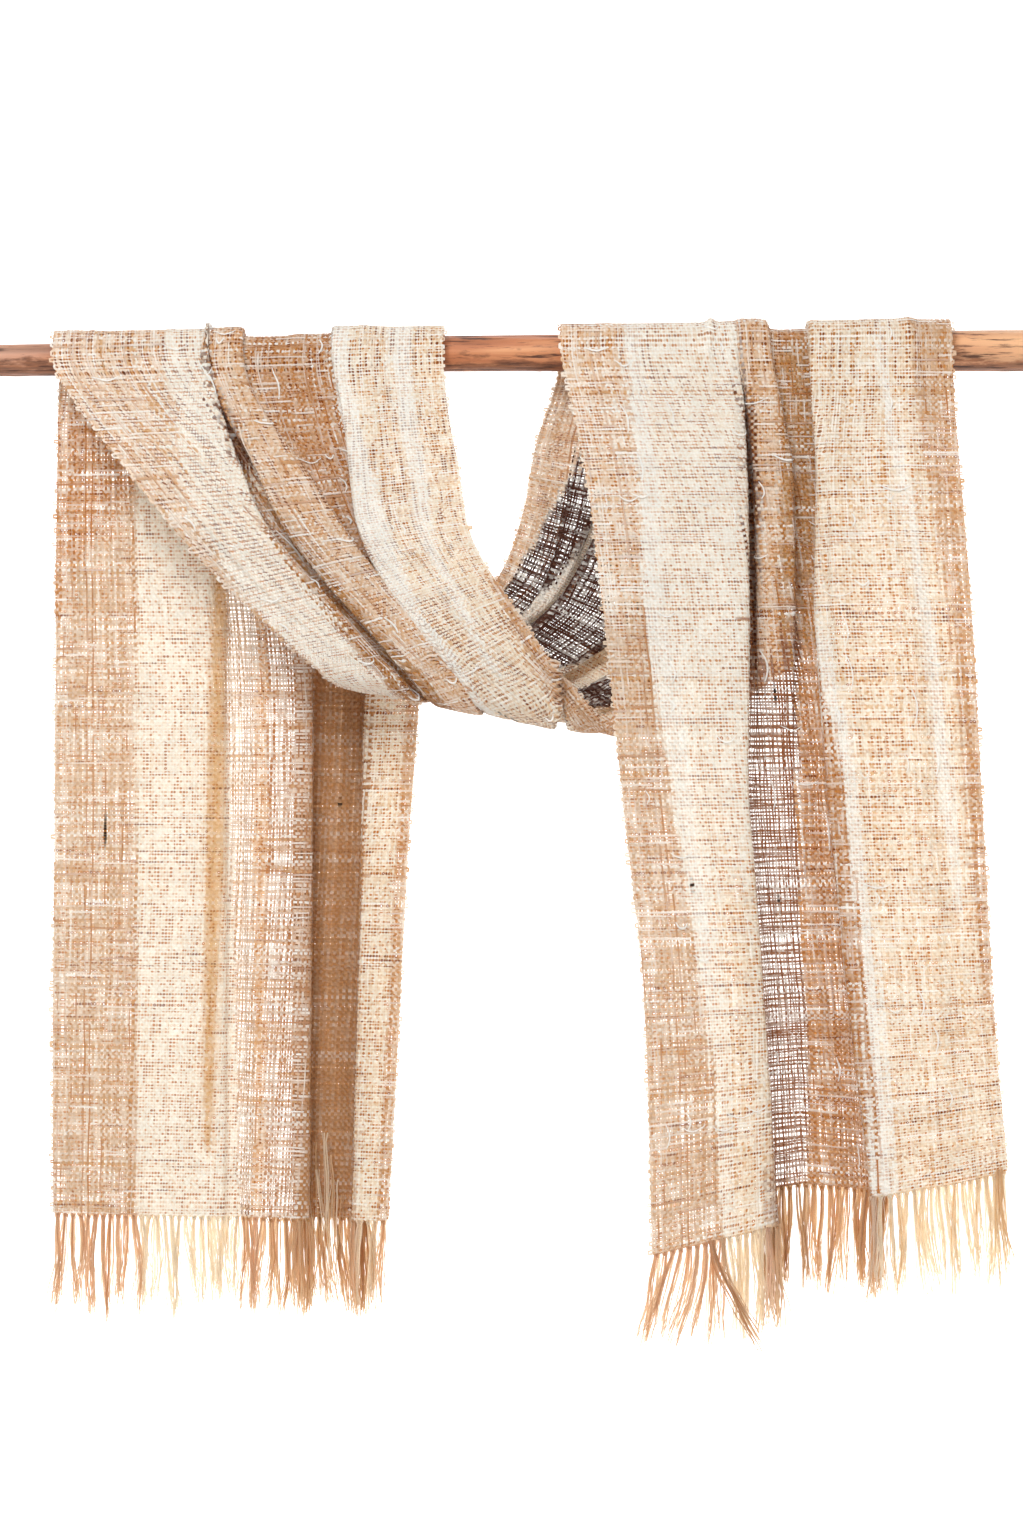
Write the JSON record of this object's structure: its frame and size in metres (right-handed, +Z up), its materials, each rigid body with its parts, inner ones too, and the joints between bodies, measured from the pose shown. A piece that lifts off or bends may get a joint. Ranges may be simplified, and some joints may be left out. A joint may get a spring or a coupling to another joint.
{
  "type": "silk scarf wound over a wooden rod",
  "caption": "Handwoven open-weave scarf with lengthwise stripes and knotted fringes, wound over a peeled wooden rod with both ends hanging.",
  "frame": {"origin": "on the rod's axis at the middle of its length, where the rod is held", "axes": "+X along the rod, +Z up, the front faces -Y"},
  "size_m": [0.9, 0.1171, 0.82],
  "materials": {
    "scarf_silk": "open handwoven raw silk, tan and cream lengthwise stripes, soft slubbed surface",
    "fringe_silk": "loose twisted warp yarns, knotted at the hem",
    "rod_wood": "peeled pole, satin, warm brown with long cracks and bark flecks"
  },
  "bodies": {
    "root": {"tail_left": "scarf_silk", "swag_front": "scarf_silk", "swag_back": "scarf_silk", "tail_right": "scarf_silk", "fringe_left": "fringe_silk", "fringe_right": "fringe_silk", "rod": "rod_wood"}
  },
  "joints": []
}
